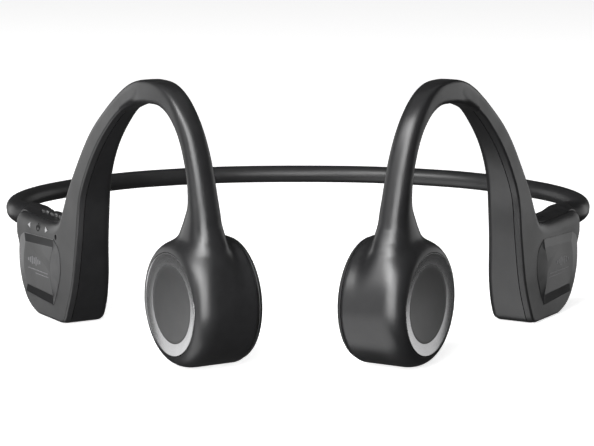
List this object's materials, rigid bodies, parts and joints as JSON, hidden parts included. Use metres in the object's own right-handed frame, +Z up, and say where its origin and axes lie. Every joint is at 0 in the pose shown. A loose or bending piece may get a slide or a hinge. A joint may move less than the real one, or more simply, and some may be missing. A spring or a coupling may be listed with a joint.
{
  "type": "bone conduction headphones",
  "caption": "Wraparound bone conduction headphones: round cheek pods on ear hooks, slim housings behind the ears and a springy neck band.",
  "frame": {"origin": "centre of the bounding box at its bottom, on the surface that the headphones stand on", "axes": "+Z up, +X to the wearer's left, +Y behind the wearer's head; the pods are at -Y and the band at +Y"},
  "size_m": [0.146, 0.1526, 0.0619],
  "materials": {
    "shell_black": "satin soft-touch black",
    "cover_black": "satin black",
    "badge_grey": "satin charcoal with bevelled edges",
    "band_black": "soft-touch silicone",
    "rim_black": "polished dark metallic bevel",
    "disc_grey": "satin charcoal, dished",
    "pad_black": "soft silicone",
    "button_black": "satin black",
    "drive_plastic": "moulded black",
    "alloy": "bright drawn spring wire",
    "steel": "pressed sheet",
    "magnet": "nickel plated",
    "copper": "enamelled copper wire",
    "lead": "insulated wire",
    "board": "green solder mask",
    "cell": "foil pouch",
    "foam": "open-cell foam"
  },
  "bodies": {
    "band": {"band_sleeve_center": "band_black", "band_core_center": "alloy", "band_lead_center": "lead"},
    "arm_right": {"arm_shell_right": "shell_black", "outer_cover_right": "cover_black", "badge_plate_right": "badge_grey", "pod_rim_right": "rim_black", "pod_disc_right": "disc_grey", "cheek_pad_right": "pad_black", "exciter_can_right": "steel", "exciter_magnet_right": "magnet", "exciter_pole_plate_right": "steel", "voice_coil_right": "copper", "suspension_spring_right": "steel", "drive_plate_right": "drive_plastic", "hook_core_right": "alloy", "hook_lead_right": "lead", "band_sleeve_right": "band_black", "band_core_right": "alloy", "band_lead_right": "lead", "band_boot_right": "band_black", "main_board": "board", "chip_shield": "steel", "charging_socket": "steel", "microphone": "steel", "switch_1": "steel", "switch_2": "steel", "switch_3": "steel", "board_screw_1": "steel", "board_screw_2": "steel"},
    "arm_left": {"arm_shell_left": "shell_black", "outer_cover_left": "cover_black", "badge_plate_left": "badge_grey", "pod_rim_left": "rim_black", "pod_disc_left": "disc_grey", "cheek_pad_left": "pad_black", "exciter_can_left": "steel", "exciter_magnet_left": "magnet", "exciter_pole_plate_left": "steel", "voice_coil_left": "copper", "suspension_spring_left": "steel", "drive_plate_left": "drive_plastic", "hook_core_left": "alloy", "hook_lead_left": "lead", "band_sleeve_left": "band_black", "band_core_left": "alloy", "band_lead_left": "lead", "band_boot_left": "band_black", "battery_cell": "cell", "protection_board": "board", "battery_foam": "foam"},
    "port_cover": {"port_cover": "pad_black"},
    "button_volume_down": {"button_volume_down": "button_black"},
    "button_multifunction": {"button_multifunction": "button_black"},
    "button_volume_up": {"button_volume_up": "button_black"}
  },
  "joints": [
    {"name": "band_flex_right", "type": "hinge", "parent": "band", "child": "arm_right", "pos_m": [-0.0453, 0.06207, 0.022], "axis": [0, 0, -1], "range_deg": [-2, 25], "stiffness_Nm_per_rad": 0.4},
    {"name": "band_flex_left", "type": "hinge", "parent": "band", "child": "arm_left", "pos_m": [0.0453, 0.06207, 0.022], "axis": [0, 0, 1], "range_deg": [-2, 25], "stiffness_Nm_per_rad": 0.4},
    {"name": "button_volume_down_press", "type": "slide", "parent": "arm_right", "child": "button_volume_down", "axis": [0, 0, -1], "range_m": [0, 0.0004], "stiffness_N_per_m": 400},
    {"name": "button_multifunction_press", "type": "slide", "parent": "arm_right", "child": "button_multifunction", "axis": [0, 0, -1], "range_m": [0, 0.0004], "stiffness_N_per_m": 400},
    {"name": "button_volume_up_press", "type": "slide", "parent": "arm_right", "child": "button_volume_up", "axis": [0, 0, -1], "range_m": [0, 0.0004], "stiffness_N_per_m": 400},
    {"name": "port_cover_hinge", "type": "hinge", "parent": "arm_right", "child": "port_cover", "pos_m": [-0.05752, -0.00675, 0.0003], "axis": [0.8598, 0.5107, 0], "range_deg": [0, 110], "stiffness_Nm_per_rad": 0.001}
  ]
}
